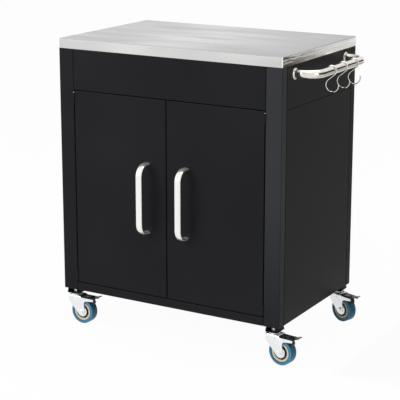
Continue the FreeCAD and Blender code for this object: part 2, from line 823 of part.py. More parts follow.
def caster_fork():
    """Pressed fork, closed round the nose, with axle holes and pedal pivot holes."""
    fork = fork_block(0).cut(fork_block(fork_sheet)).common(fork_silhouette())
    fork = fork.cut(Part.makeCylinder(stem_radius + running, crown_top + 1))
    side = -2 * fork_half_width
    axle_hole = Part.makeCylinder(axle_radius + running, -2 * side, Vec(trail, side, wheel_radius), y_axis)
    pin_hole = Part.makeCylinder(pedal_pin_radius + running, -2 * side,
                                 Vec(pedal_pivot_x, side, pedal_pivot_z), y_axis)
    return fork.cut(axle_hole).cut(pin_hole)


def caster_hardware():
    """Axle bolt with its nut, two dust covers and the pedal's pivot pin."""
    near = Vec(trail, -fork_half_width, wheel_radius)
    shank = Part.makeCylinder(axle_radius, 2 * fork_half_width, near, y_axis)
    head = hexagon(axle_flats, near - y_axis * axle_head, y_axis * axle_head, x_axis)
    nut = hexagon(axle_flats, near + y_axis * (2 * fork_half_width), y_axis * axle_head, x_axis)
    bolt = fused([shank, head, nut])
    covers = []
    for side in (-1, 1):
        wall = side * fork_half_gap
        depth = side * (fork_half_gap - rim_half_width - 2 * touch)
        middle = wall - depth / 2
        inner = cover_radius - 2 * cover_rim
        bore = axle_radius + running
        profile = [(bore, wall), (inner, wall), (cover_radius, middle), (cover_radius, wall - depth),
                   (cover_radius - cover_rim, wall - depth), (inner, middle), (bore, middle)]
        covers.append(turned(profile, Vec(trail, 0, wheel_radius), y_axis, x_axis))
    pin = Part.makeCylinder(pedal_pin_radius, 2 * fork_half_width + 2,
                            Vec(pedal_pivot_x, -fork_half_width - 1, pedal_pivot_z), y_axis)
    return [bolt] + covers + [pin]


def wheel_rim():
    web = rim_web / 2
    half = [(axle_radius + running, rim_half_width), (rim_hub_radius, rim_half_width),
            (rim_hub_radius + rim_draft, web), (rim_ring_radius - rim_draft, web),
            (rim_ring_radius, rim_half_width), (rim_radius - rim_draft, rim_half_width),
            (rim_radius, rim_half_width - rim_draft)]
    profile = half + [(radius, -y) for radius, y in half[::-1]]
    return turned(profile, Vec(trail, 0, wheel_radius), y_axis, x_axis)


def wheel_tyre():
    """Tyre with a flat tread, rounded shoulders and a lip beside the rim."""
    half = wheel_width / 2
    centre = Vec(trail, 0, wheel_radius)
    shoulder = wheel_radius - tyre_shoulder
    slant = tyre_shoulder * math.sqrt(0.5)

    def at(radius, y):
        return centre + Vec(radius, y, 0)

    edges = [Part.LineSegment(at(rim_radius, tyre_lip - half), at(rim_radius, half - tyre_lip)).toShape(),
             Part.LineSegment(at(wheel_radius, tyre_shoulder - half),
                              at(wheel_radius, half - tyre_shoulder)).toShape()]
    for side in (-1, 1):
        wall = at(shoulder, side * half)
        middle = at(shoulder + slant, side * (half - tyre_shoulder + slant))
        edges.append(Part.LineSegment(at(rim_radius, side * (half - tyre_lip)), wall).toShape())
        edges.append(Part.Arc(wall, middle, at(wheel_radius, side * (half - tyre_shoulder))).toShape())
    outline = Part.Wire(Part.__sortEdges__(edges))
    return Part.Face(outline).revolve(centre, y_axis, 360)


def brake_pedal():
    """Pressed pedal: curled tip, window, two cheeks on the pivot pin and a shoe shaped to the tyre."""
    half = pedal_width / 2
    under = pedal_top - pedal_sheet
    knee = pedal_reach - pedal_tip_length
    points = [Vec(pedal_start, -half, under), Vec(knee, -half, under),
              Vec(pedal_reach, -half, under + pedal_tip_rise)]
    plate = bent_sheet(points, pedal_sheet, 4 * pedal_sheet, -y_axis, Vec(0, pedal_width, 0))
    tip = [edge for edge in plate.Edges
           if edge.CenterOfMass.x > pedal_reach - 2 * pedal_sheet and abs(edge.CenterOfMass.y) > half - 0.01
           and edge.Length < 1.5 * pedal_sheet]
    plate = plate.makeFillet(0.25 * pedal_width, tip)
    plate = plate.cut(box((pedal_window_start, pedal_window_start + pedal_window_length),
                          (-pedal_window_width / 2, pedal_window_width / 2), (under - 1, pedal_top + 1)))
    pivot = Vec(pedal_pivot_x, 0, pedal_pivot_z)
    eye = pivot - y_axis * half
    cheek_tip = Vec(pedal_cheek_end, -half, under)
    lowest = arc_point(eye, pedal_eye_radius, tangent_angle(eye, pedal_eye_radius, cheek_tip, -1))
    cheek = prism([eye + z_axis * pedal_eye_radius, eye, lowest, cheek_tip,
                   cheek_tip + Vec(0, 0, 0.5 * pedal_sheet),
                   Vec(pedal_start, -half, under + 0.5 * pedal_sheet)], Vec(0, pedal_sheet, 0))
    round_eye = Part.makeCylinder(pedal_eye_radius, pedal_sheet, eye, y_axis)
    cheek = fused([cheek, round_eye])
    far_cheek = cheek.mirror(Vec(0, 0, 0), y_axis)
    side = -shoe_width / 2
    shoe = prism([Vec(shoe_start, side, under), Vec(shoe_start + shoe_top, side, under),
                  Vec(shoe_end, side, shoe_bottom + shoe_heel), Vec(shoe_end, side, shoe_bottom),
                  Vec(shoe_start, side, shoe_bottom)], Vec(0, shoe_width, 0))
    pressed = math.radians(pedal_travel)
    to_wheel = Vec(trail, 0, wheel_radius) - pivot
    seat = pivot + Vec(to_wheel.x * math.cos(pressed) - to_wheel.z * math.sin(pressed), 0,
                       to_wheel.x * math.sin(pressed) + to_wheel.z * math.cos(pressed))
    tyre = Part.makeCylinder(wheel_radius + 2 * touch, 2 * pedal_width, seat - y_axis * pedal_width, y_axis)
    pedal = fused([plate, cheek, far_cheek, shoe.cut(tyre)])
    pin = Part.makeCylinder(pedal_pin_radius + running, 2 * pedal_width,
                            Vec(pedal_pivot_x, -pedal_width, pedal_pivot_z), y_axis)
    return pedal.cut(pin)


def build():
    """All sub-parts by node name. A group of separate solids is a list."""
    post = front_post()
    back_post = mirrored_y(corner_post())
    parts = {
        "worktop_skin": worktop_skin(),
        "worktop_board": worktop_board(),
        "worktop_screws": [worktop_screw(x, y) for x, y in worktop_screw_places()],
        "post_front_left": post,
        "post_front_right": mirrored_x(post),
        "post_back_left": back_post,
        "post_back_right": mirrored_x(back_post),
        "base_pan": base_pan(),
        "front_apron": front_apron(),
        "side_band_left": side_band(False),
        "side_band_right": side_band(True),
        "side_panel_left": side_panel(),
        "side_panel_right": mirrored_x(side_panel()),
        "back_panel": back_panel(),
        "inner_shelf": inner_shelf(),
        "shelf_rails": [shelf_rail(), mirrored_x(shelf_rail())],
        "hinge_frame_leaves": frame_leaves() + [mirrored_x(leaf) for leaf in frame_leaves()],
        "hinge_pins": hinge_pins() + [mirrored_x(pin) for pin in hinge_pins()],
        "magnetic_catch": magnetic_catch(),
        "side_rail": side_rail(),
        "side_rail_flanges": rail_flanges(),
        "side_rail_bolts": rail_bolts(),
    }
    door = {"skin": [door_skin()], "liner": [door_liner()], "handle": [door_handle()],
            "handle_screws": handle_screws(), "hinge_leaves": door_leaves(), "strike": [strike()]}
    for name, shapes in door.items():
        parts["door_left_" + name] = shapes
        parts["door_right_" + name] = [mirrored_x(shape) for shape in shapes]
    for i in range(hook_count):
        parts["s_hook_" + str(i + 1)] = s_hook(y_front + hook_first + i * hook_pitch)
    parts["caster_brackets"] = []
    parts["caster_heads"] = []
    parts["caster_nuts"] = []
    caster = {"fork": [caster_fork()], "axle": caster_hardware(), "rim": [wheel_rim()],
              "tyre": [wheel_tyre()], "pedal": [brake_pedal()]}
    for corner, place in caster_places().items():
        bracket = caster_bracket()
        bracket.translate(place)
        parts["caster_brackets"].append(bracket)
        parts["caster_heads"].append(placed(caster_head(), corner))
        parts["caster_nuts"].append(placed(caster_nut(), corner))
        for name, shapes in caster.items():
            parts["caster_" + corner + "_" + name] = [placed(shape, corner) for shape in shapes]
    return parts


def main():
    os.makedirs("parts", exist_ok=True)
    for name, shape in build().items():
        if isinstance(shape, list):
            shape = shape[0] if len(shape) == 1 else Part.makeCompound(shape)
        shape.exportStep("parts/" + name + ".step")


main()
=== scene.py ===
import bpy
import bmesh
import json
import math
from mathutils import Matrix, Vector


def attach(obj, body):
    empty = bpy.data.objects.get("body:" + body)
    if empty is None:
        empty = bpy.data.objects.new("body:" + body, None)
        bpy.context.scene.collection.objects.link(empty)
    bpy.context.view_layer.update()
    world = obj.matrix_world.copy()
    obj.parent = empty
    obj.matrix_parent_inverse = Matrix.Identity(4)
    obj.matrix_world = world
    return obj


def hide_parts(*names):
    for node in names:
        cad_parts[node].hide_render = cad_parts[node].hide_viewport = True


# Grill cart with storage: finishes, fine pieces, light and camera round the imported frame.
# Metres. +Z is up, the doors face -Y and the side rail is on the +X side.

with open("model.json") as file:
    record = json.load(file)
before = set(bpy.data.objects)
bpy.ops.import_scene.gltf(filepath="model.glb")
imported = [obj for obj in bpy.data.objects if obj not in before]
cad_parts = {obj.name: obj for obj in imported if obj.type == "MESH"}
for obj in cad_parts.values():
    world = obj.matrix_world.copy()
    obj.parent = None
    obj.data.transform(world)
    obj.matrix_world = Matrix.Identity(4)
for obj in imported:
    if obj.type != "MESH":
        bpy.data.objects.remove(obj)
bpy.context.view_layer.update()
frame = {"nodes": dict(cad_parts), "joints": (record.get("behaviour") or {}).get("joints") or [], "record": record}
cartNodes = frame["nodes"]
print("frame loaded")


# Shared shader helpers

def newMaterial(name):
    material = bpy.data.materials.new(name)
    material.use_nodes = True
    tree = material.node_tree
    return material, tree, tree.nodes["Principled BSDF"]


def setInputs(tree, node, values):        # each value is plain, or the output of another node
    for label, value in values.items():
        socket = node.inputs[label]
        if isinstance(value, bpy.types.NodeSocket):
            tree.links.new(value, socket)
        elif socket.type == "RGBA":
            socket.default_value = value + (1.0,)
        else:
            socket.default_value = value


def newNode(tree, kind, values):
    node = tree.nodes.new("ShaderNode" + kind)
    setInputs(tree, node, values)
    return node


def newGroup(name, inputs, outputs):      # inputs with their defaults; the outputs are all values
    tree = bpy.data.node_groups.new(name, "ShaderNodeTree")
    for label, value in inputs.items():
        kind = "NodeSocketVector" if isinstance(value, tuple) else "NodeSocketFloat"
        tree.interface.new_socket(name=label, in_out="INPUT", socket_type=kind).default_value = value
    for label in outputs:
        tree.interface.new_socket(name=label, in_out="OUTPUT", socket_type="NodeSocketFloat")
    return tree, tree.nodes.new("NodeGroupInput").outputs, tree.nodes.new("NodeGroupOutput")


def placeGroup(tree, group, values):
    node = tree.nodes.new("ShaderNodeGroup")
    node.node_tree = group
    setInputs(tree, node, values)
    return node.outputs


def coordinate(tree, label):
    return tree.nodes.new("ShaderNodeTexCoord").outputs[label]


def splitVector(tree, vector):
    return newNode(tree, "SeparateXYZ", {0: vector}).outputs


def mathNode(tree, operation, first, second=0.0, clamp=False):
    node = newNode(tree, "Math", {0: first, 1: second})
    node.operation = operation
    node.use_clamp = clamp
    return node.outputs[0]


def weighNode(tree, first, firstShare, second, secondShare):
    return mathNode(tree, "ADD", mathNode(tree, "MULTIPLY", first, firstShare),
                    mathNode(tree, "MULTIPLY", second, secondShare))


def vectorNode(tree, operation, first, second, output="Vector"):
    node = newNode(tree, "VectorMath", {0: first, 1: second})
    node.operation = operation
    return node.outputs[output]


def rangeNode(tree, value, low, high, toLow=0.0, toHigh=1.0):
    return newNode(tree, "MapRange", {"Value": value, "From Min": low, "From Max": high,
                                      "To Min": toLow, "To Max": toHigh}).outputs["Result"]


def mixNode(tree, factor, first, second, kind="RGBA"):
    node = tree.nodes.new("ShaderNodeMix")
    node.data_type = kind
    setInputs(tree, node, {"Factor": factor, "A": first, "B": second})
    return node.outputs["Result"]


def noiseNode(tree, place, scale, detail, roughness=0.5):
    return newNode(tree, "TexNoise", {"Vector": place, "Scale": scale, "Detail": detail,
                                      "Roughness": roughness}).outputs["Fac"]


def cellNode(tree, place, scale):         # cells: a random colour for each, and the distance to its middle
    cells = newNode(tree, "TexVoronoi", {"Vector": place, "Scale": scale}).outputs
    return newNode(tree, "SeparateColor", {"Color": cells["Color"]}).outputs, cells["Distance"]


def addBump(tree, shader, height, bump):  # bump is (strength, distance)
    node = newNode(tree, "Bump", {"Height": height, "Strength": bump[0], "Distance": bump[1]})
    setInputs(tree, shader, {"Normal": node.outputs["Normal"]})


def makeGrainGroup():                     # long fine lines left by a brushing belt
    inputs = {"Vector": (0.0, 0.0, 0.0), "Stretch": (4.0, 900.0, 900.0), "Patch Size": 4.0}
    tree, start, end = newGroup("brushed lines", inputs, ("Tone", "Height", "Reflection Patches"))
    scaled = vectorNode(tree, "MULTIPLY", start["Vector"], start["Stretch"])
    lines = noiseNode(tree, scaled, scale=1.0, detail=5.0, roughness=0.65)
    wider = vectorNode(tree, "MULTIPLY", scaled, (0.12, 0.12, 0.12))
    bands = noiseNode(tree, wider, scale=1.0, detail=2.0)
    # painted reflection: broad patches for the worktop's sheen
    reflectionGrain = vectorNode(tree, "MULTIPLY", start["Vector"], (1.0, 4.0, 4.0))
    reflectionPatches = noiseNode(tree, reflectionGrain, start["Patch Size"], detail=1.5)
    setInputs(tree, end, {"Tone": rangeNode(tree, weighNode(tree, lines, 0.65, bands, 0.35), 0.3, 0.7),
                          "Height": lines, "Reflection Patches": rangeNode(tree, reflectionPatches, 0.35, 0.65)})
    return tree


def makeCoatGroup():                      # sprayed powder coat: fine peel and broad unevenness
    inputs = {"Vector": (0.0, 0.0, 0.0), "Peel Size": 900.0, "Broad Size": 3.0}
    tree, start, end = newGroup("powder coat", inputs, ("Peel", "Broad"))
    peel = noiseNode(tree, start["Vector"], start["Peel Size"], detail=3.0, roughness=0.55)
    broad = noiseNode(tree, start["Vector"], start["Broad Size"], detail=2.0)
    setInputs(tree, end, {"Peel": peel, "Broad": rangeNode(tree, broad, 0.3, 0.7)})
    return tree


def makeEdgeGroup():                      # painted highlight on edges: where the rounded normal leaves the true one
    inputs = {"Radius": 0.0012, "Breakup": 60.0, "Amount": 0.5}
    tree, start, end = newGroup("painted edge highlights", inputs, ("Mask",))
    rounded = newNode(tree, "Bevel", {"Radius": start["Radius"]})
    rounded.samples = 4
    trueNormal = tree.nodes.new("ShaderNodeNewGeometry").outputs["True Normal"]
    turned = vectorNode(tree, "DOT_PRODUCT", rounded.outputs["Normal"], trueNormal, "Value")
    sharp = rangeNode(tree, mathNode(tree, "SUBTRACT", 1.0, turned), 0.03, 0.28)
    noise = noiseNode(tree, coordinate(tree, "Object"), start["Breakup"], detail=4.0)
    broken = mathNode(tree, "MULTIPLY", sharp, rangeNode(tree, noise, 0.35, 0.6, 0.25, 1.0))
    setInputs(tree, end, {"Mask": mathNode(tree, "MULTIPLY", broken, start["Amount"], clamp=True)})
    return tree


brushedLines = makeGrainGroup()
powderCoat = makeCoatGroup()
paintedEdgeLight = makeEdgeGroup()


# Finishes. A bump is (strength, distance); the edge highlight entry holds the inputs of the painted edge
# highlights.

worktopLook = {"dark": (0.52, 0.52, 0.52), "light": (0.70, 0.70, 0.698), "stretch": (3.0, 620.0, 620.0),
               "roughnessLow": 0.22, "roughnessHigh": 0.34, "metallic": 1.0, "bump": (0.35, 0.00005),
               "turnsAbove": 0.7}

# Each painted shade ramp is (axis, where it starts, where it ends, its share at the start, its share at the end).
worktopPaintedLight = {"patchSize": 3.6, "reflectionPatchTint": (0.37, 0.368, 0.365), "reflectionPatchShare": 0.75,
               "paintedTopShade": (0.315, 0.315, 0.32), "facing": 0.8,
               "shadeRamps": (("X", -0.04, 0.33, 0.0, 0.92), ("X", -0.24, -0.10, 0.3, 0.0),
                         ("Y", -0.2245, -0.13, 0.28, 0.0), ("Y", -0.2225, -0.2185, 0.5, 0.0)),
               "paintedEndLight": (0.86, 0.85, 0.83), "endShare": 0.95, "frontShare": 0.28,
               "reflectionStreak": (0.07, 0.055, 0.045), "streakStretch": (1.0, 9.0, 170.0), "streakTone": (0.46, 0.6),
               "streakAlong": (-0.20, 0.02), "streakLeast": 0.08,
               "foldShade": (0.40, 0.40, 0.40), "foldRange": (0.05, 0.3), "foldRough": 0.5,
               "cornerHighlight": (0.97, 0.97, 0.96), "cornerRange": (0.1, 0.3)}

handleLook = {"dark": (0.86, 0.835, 0.785), "light": (0.97, 0.955, 0.915), "stretch": (700.0, 700.0, 14.0),
              "roughnessLow": 0.16, "roughnessHigh": 0.24, "metallic": 0.72, "bump": (0.35, 0.00002)}

tubeLook = {"dark": (0.56, 0.53, 0.485), "light": (0.92, 0.89, 0.84), "stretch": (500.0, 14.0, 500.0),
            "roughnessLow": 0.04, "roughnessHigh": 0.11, "metallic": 0.97, "bump": (0.35, 0.00001)}


def facesAlong(tree, part, limit):        # 1 where this part of the normal is over the limit either way
    return mathNode(tree, "GREATER_THAN", mathNode(tree, "ABSOLUTE", part), limit)


def turnedGrain(tree, place, limit):      # on faces that look along X the grain runs along Y
    parts = splitVector(tree, place)
    swapped = newNode(tree, "CombineXYZ", {"X": parts["Y"], "Y": parts["X"], "Z": parts["Z"]}).outputs[0]
    onEnd = facesAlong(tree, splitVector(tree, coordinate(tree, "Normal"))["X"], limit)
    return mixNode(tree, onEnd, place, swapped, "VECTOR")


# painted light on the worktop: reflection clouds, shade, highlights and streaks, with a rougher fold
def paintWorktopLight(tree, paintedLight, place, reflectionPatches, colour, rough):
    spot = splitVector(tree, place)
    facing = splitVector(tree, coordinate(tree, "Normal"))
    paintedReflection = mathNode(tree, "MULTIPLY", reflectionPatches, paintedLight["reflectionPatchShare"])   # painted reflection: soft clouds of lighter and darker steel
    colour = mixNode(tree, paintedReflection, colour, paintedLight["reflectionPatchTint"])
    shaded = 0.0                           # painted shade: the top darker towards both ends, along the front and on its edge
    for axis, start, end, atStart, atEnd in paintedLight["shadeRamps"]:
        ramp = rangeNode(tree, spot[axis], start, end, atStart, atEnd)
        shaded = mathNode(tree, "ADD", shaded, ramp, clamp=True)
    onTop = mathNode(tree, "GREATER_THAN", facing["Z"], paintedLight["facing"])
    colour = mixNode(tree, mathNode(tree, "MULTIPLY", shaded, onTop), colour, paintedLight["paintedTopShade"])
    # painted light: the end faces, and less the front face, made brighter
    onEnd, onFront = [facesAlong(tree, facing[axis], paintedLight["facing"]) for axis in "XY"]
    paintedFaceLight = weighNode(tree, onEnd, paintedLight["endShare"], onFront, paintedLight["frontShare"])
    colour = mixNode(tree, paintedFaceLight, colour, paintedLight["paintedEndLight"])
    # painted reflection: dark streaks on the end fold, strongest at the front corner
    reflectionGrain = placeGroup(tree, brushedLines, {"Vector": place, "Stretch": paintedLight["streakStretch"]})
    paintedStreaks = mathNode(tree, "MULTIPLY", rangeNode(tree, reflectionGrain["Tone"], *paintedLight["streakTone"]),
                       rangeNode(tree, spot["Y"], *paintedLight["streakAlong"], 1.0, paintedLight["streakLeast"]))
    colour = mixNode(tree, mathNode(tree, "MULTIPLY", paintedStreaks, onEnd), colour, paintedLight["reflectionStreak"])
    # painted shade on the upper fold, which is also rougher, and a painted highlight on the standing corners
    sizes = {axis: mathNode(tree, "ABSOLUTE", facing[axis]) for axis in "XYZ"}
    leaning = mathNode(tree, "MULTIPLY", mathNode(tree, "MAXIMUM", sizes["X"], sizes["Y"]), sizes["Z"])
    onFold = rangeNode(tree, leaning, *paintedLight["foldRange"])
    onCorner = rangeNode(tree, mathNode(tree, "MULTIPLY", sizes["X"], sizes["Y"]), *paintedLight["cornerRange"])
    colour = mixNode(tree, onFold, colour, paintedLight["foldShade"])
    colour = mixNode(tree, onCorner, colour, paintedLight["cornerHighlight"])
    foldRough = mathNode(tree, "MULTIPLY", onFold, paintedLight["foldRough"])
    return colour, mathNode(tree, "ADD", rough, foldRough, clamp=True)


def makeBrushedMetal(name, look, paintedLight=None):
    material, tree, shader = newMaterial(name)
    place = coordinate(tree, "Object")
    along = turnedGrain(tree, place, look["turnsAbove"]) if "turnsAbove" in look else place
    values = {"Vector": along, "Stretch": look["stretch"]}
    if paintedLight:
        values["Patch Size"] = paintedLight["patchSize"]
    grain = placeGroup(tree, brushedLines, values)
    colour = mixNode(tree, grain["Tone"], look["dark"], look["light"])
    rough = rangeNode(tree, grain["Tone"], 0.0, 1.0, look["roughnessHigh"], look["roughnessLow"])
    if paintedLight:
        colour, rough = paintWorktopLight(tree, paintedLight, place, grain["Reflection Patches"], colour, rough)
    setInputs(tree, shader, {"Base Color": colour, "Roughness": rough, "Metallic": look["metallic"]})
    addBump(tree, shader, grain["Height"], look["bump"])
    return material


blackLook = {"colour": (0.0124, 0.0125, 0.0146), "paler": (0.0160, 0.0160, 0.0184),
             "edge": (0.040, 0.040, 0.042), "edgeHighlight": {"Radius": 0.0012, "Amount": 0.55},
             "peelSize": 1300.0, "broadSize": 3.2, "roughnessLow": 0.34, "roughnessHigh": 0.42,
             "specular": 0.06, "bump": (0.5, 0.000035)}

litPostLook = {**blackLook, "postLight": (0.037, 0.0395, 0.044), "postLightHeights": (0.1, 0.5), "postLightLeast": 0.15}

pedalLook = {"colour": (0.010, 0.010, 0.011), "paler": (0.020, 0.020, 0.021),
             "edge": (0.09, 0.09, 0.09), "edgeHighlight": {"Radius": 0.0012, "Amount": 0.55},
             "peelSize": 1800.0, "broadSize": 14.0, "roughnessLow": 0.24, "roughnessHigh": 0.34,
             "specular": 0.22, "bump": (0.5, 0.00003)}


def makeCoatedSteel(name, look):
    material, tree, shader = newMaterial(name)
    place = coordinate(tree, "Object")
    coatAndShade = placeGroup(tree, powderCoat, {"Vector": place, "Peel Size": look["peelSize"],
                                         "Broad Size": look["broadSize"]})
    colour = mixNode(tree, coatAndShade["Broad"], look["colour"], look["paler"])
    if "postLight" in look:                    # painted light: paler towards the top
        postLight = rangeNode(tree, splitVector(tree, place)["Z"], *look["postLightHeights"], look["postLightLeast"], 1.0)
        colour = mixNode(tree, postLight, colour, look["postLight"])
    # painted highlight: paler along the edges
    colour = mixNode(tree, placeGroup(tree, paintedEdgeLight, look["edgeHighlight"])["Mask"], colour, look["edge"])
    uneven = weighNode(tree, coatAndShade["Broad"], 0.7, coatAndShade["Peel"], 0.3)
    rough = rangeNode(tree, uneven, 0.2, 0.8, look["roughnessLow"], look["roughnessHigh"])
    setInputs(tree, shader, {"Base Color": colour, "Roughness": rough,
                             "Specular IOR Level": look["specular"]})
    addBump(tree, shader, coatAndShade["Peel"], look["bump"])
    return material


zincLook = {"dark": (0.82, 0.84, 0.855), "light": (0.88, 0.895, 0.905),
            "edge": (0.96, 0.96, 0.96), "edgeHighlight": {"Radius": 0.0006, "Amount": 0.6, "Breakup": 180.0},
            "spangle": 420.0, "cloudSize": 60.0, "roughnessLow": 0.22, "roughnessHigh": 0.36,
            "metallic": 0.85, "bump": (0.4, 0.00001)}

# painted shade: black for the pin ends under the top head
pinLook = {**zincLook, "coatAndShade": (0.012, 0.012, 0.013), "shadeSpecular": 0.1}


def makeZinc(name, look):
    material, tree, shader = newMaterial(name)
    place = coordinate(tree, "Object")
    tones = cellNode(tree, place, look["spangle"])[0]
    cloud = noiseNode(tree, place, look["cloudSize"], detail=4.0)
    uneven = weighNode(tree, tones["Red"], 0.4, cloud, 0.6)
    colour = mixNode(tree, uneven, look["dark"], look["light"])
    # painted highlight: paler along the edges
    colour = mixNode(tree, placeGroup(tree, paintedEdgeLight, look["edgeHighlight"])["Mask"], colour, look["edge"])
    rough = rangeNode(tree, uneven, 0.2, 0.8, look["roughnessHigh"], look["roughnessLow"])
    setInputs(tree, shader, {"Base Color": colour, "Roughness": rough, "Metallic": look["metallic"]})
    addBump(tree, shader, cloud, look["bump"])
    return material


def makePinSteel(name, look, litAbove):  # bright zinc above this height, painted shade in black under it
    material = makeZinc(name, look)
    tree = material.node_tree
    shader = tree.nodes["Principled BSDF"]
    bright = shader.inputs["Base Color"].links[0].from_socket
    litPart = mathNode(tree, "GREATER_THAN", splitVector(tree, coordinate(tree, "Object"))["Z"], litAbove)
    setInputs(tree, shader, {"Base Color": mixNode(tree, litPart, look["coatAndShade"], bright), "Metallic": litPart,
                             "Specular IOR Level": look["shadeSpecular"]})
    return material


catchLook = {"colour": (0.012, 0.012, 0.012), "paler": (0.022, 0.022, 0.022), "cloudSize": 120.0,
             "grainSize": 2600.0, "roughnessLow": 0.51, "roughnessHigh": 0.61, "specular": 0.35,
             "bump": (0.4, 0.00005)}

rimLook = {"colour": (0.68, 0.59, 0.43), "paler": (0.78, 0.70, 0.54), "cloudSize": 90.0,
           "grainSize": 2400.0, "roughnessLow": 0.34, "roughnessHigh": 0.44, "specular": 0.5,
           "bump": (0.4, 0.00003),
           "speck": (0.50, 0.41, 0.27), "speckRange": (0.62, 0.75), "speckShare": 0.5,
           "recessShade": (0.145, 0.066, 0.022), "recessReach": (0.0226, 0.0236),
           "recessDepth": (0.0112, 0.0124)}

tyreLook = {"colour": (0.064, 0.270, 0.430), "paler": (0.100, 0.345, 0.510), "cloudSize": 70.0,
            "grainSize": 2400.0, "roughnessLow": 0.3, "roughnessHigh": 0.45, "specular": 0.18,
            "bump": (0.4, 0.00004), "tyreEdgeLight": (0.16, 0.36, 0.48),
            "edgeHighlight": {"Radius": 0.0015, "Amount": 0.5, "Breakup": 140.0},
            "rimShade": (0.030, 0.140, 0.240), "beadReach": (0.0315, 0.0385), "beadShare": 0.75,
            "tread": (0.023, 0.106, 0.184), "treadTurn": (0.18, 0.62), "treadShare": 0.9}


def wheelReach(tree, spot):               # distance from the axle, which lies along Y
    squares = [mathNode(tree, "POWER", spot[axis], 2.0) for axis in "XZ"]
    return mathNode(tree, "SQRT", mathNode(tree, "ADD", *squares))


def makeMoulded(name, look):
    material, tree, shader = newMaterial(name)
    place = coordinate(tree, "Object")
    cloud = noiseNode(tree, place, look["cloudSize"], detail=3.0)
    fine = noiseNode(tree, place, look["grainSize"], detail=2.0)
    colour = mixNode(tree, rangeNode(tree, cloud, 0.3, 0.7), look["colour"], look["paler"])
    if "speck" in look:
        dots = rangeNode(tree, fine, *look["speckRange"], 0.0, look["speckShare"])
        colour = mixNode(tree, dots, colour, look["speck"])
    if "recessShade" in look:                  # painted shade: darker in the web, inside the ring
        spot = splitVector(tree, place)
        within = rangeNode(tree, wheelReach(tree, spot), *look["recessReach"], 1.0, 0.0)
        sunk = rangeNode(tree, mathNode(tree, "ABSOLUTE", spot["Y"]), *look["recessDepth"], 1.0, 0.0)
        colour = mixNode(tree, mathNode(tree, "MULTIPLY", within, sunk), colour, look["recessShade"])
    if "rimShade" in look:                    # painted shade: darker beside the rim
        reach = wheelReach(tree, splitVector(tree, place))
        colour = mixNode(tree, rangeNode(tree, reach, *look["beadReach"], look["beadShare"], 0.0),
                         colour, look["rimShade"])
    if "tread" in look:                   # painted shade: darker where the surface turns away from the side
        aside = mathNode(tree, "ABSOLUTE", splitVector(tree, coordinate(tree, "Normal"))["Y"])
        colour = mixNode(tree, rangeNode(tree, aside, *look["treadTurn"], look["treadShare"], 0.0),
                         colour, look["tread"])
    if "tyreEdgeLight" in look:                    # painted highlight: paler along the edges
        colour = mixNode(tree, placeGroup(tree, paintedEdgeLight, look["edgeHighlight"])["Mask"], colour, look["tyreEdgeLight"])
    rough = rangeNode(tree, cloud, 0.3, 0.7, look["roughnessLow"], look["roughnessHigh"])
    setInputs(tree, shader, {"Base Color": colour, "Roughness": rough,
                             "Specular IOR Level": look["specular"]})
    addBump(tree, shader, fine, look["bump"])
    return material


boardLook = {"light": (0.44, 0.32, 0.20), "dark": (0.30, 0.20, 0.12), "chipSize": 240.0,
             "roughnessLow": 0.7, "roughnessHigh": 0.9, "bump": (0.5, 0.0003)}


def makeChipboard(name, look):
    material, tree, shader = newMaterial(name)
    tones, distance = cellNode(tree, coordinate(tree, "Object"), look["chipSize"])
    rough = rangeNode(tree, tones["Green"], 0.0, 1.0, look["roughnessLow"], look["roughnessHigh"])
    setInputs(tree, shader, {"Base Color": mixNode(tree, tones["Green"], look["dark"], look["light"]),
                             "Roughness": rough})
    addBump(tree, shader, distance, look["bump"])
    return material


finishes = {
    "steel_worktop": makeBrushedMetal("brushed worktop steel", worktopLook, worktopPaintedLight),
    "black_cabinet": makeCoatedSteel("satin black powder coat", blackLook),
    "board": makeChipboard("raw chipboard", boardLook),
    "zinc_steel": makeZinc("bright zinc plate", zincLook),
    "stainless_handle": makeBrushedMetal("satin handle steel", handleLook),
    "chrome_rail": makeBrushedMetal("polished rail tube", tubeLook),
    "black_catch": makeMoulded("catch plastic", catchLook),
    "black_pedal": makeCoatedSteel("pedal black", pedalLook),
    "cream_rim": makeMoulded("cream nylon", rimLook),
    "blue_tyre": makeMoulded("blue tyre", tyreLook),
}

slotOfNode = {entry["node"]: entry["material_slot"] for entry in frame["record"]["subparts"]}
for nodeName, nodeObject in cartNodes.items():
    nodeObject.data.materials.clear()
    nodeObject.data.materials.append(finishes[slotOfNode[nodeName]])
# painted light on the front right post, where the lamps catch it
cartNodes["post_front_right"].data.materials[0] = makeCoatedSteel("black powder coat with painted light", litPostLook)
print("finishes made")


# Mesh helpers. A profile row is (radius, place along the axis, rounding of that corner).

bodyOfNode = {node: body for body, held in frame["record"]["behaviour"]["bodies"].items() for node in held}
joints = {joint["name"]: joint for joint in frame["joints"]}


def newObject(name, data):
    item = bpy.data.objects.new(name, data)
    bpy.context.scene.collection.objects.link(item)
    return item


def nodeBox(nodeName):
    places = [vert.co for vert in cartNodes[nodeName].data.vertices]
    return [Vector([pick(place[axis] for place in places) for axis in range(3)]) for pick in (min, max)]


def softCorners(corners, steps):          # (x, y, radius) corners turned into points, each corner rounded
    points = []
    for i, (x, y, radius) in enumerate(corners):
        corner = Vector((x, y))
        if radius <= 0:
            points.append(corner)
            continue
        back = Vector(corners[i - 1][:2]) - corner
        ahead = Vector(corners[(i + 1) % len(corners)][:2]) - corner
        room = 0.49 * min(back.length, ahead.length)   # a corner takes less than half of either side
        cut = min(radius / math.tan(back.angle(ahead) / 2), room)
        entry, leave = corner + back.normalized() * cut, corner + ahead.normalized() * cut
        for step in range(steps + 1):
            share = step / steps
            points.append(entry.lerp(corner, share).lerp(corner.lerp(leave, share), share))
    return points


def mirrored(side):                       # a half profile closed by the same rows on the other side
    return side + [(radius, -along, rounding) for radius, along, rounding in side[::-1]]


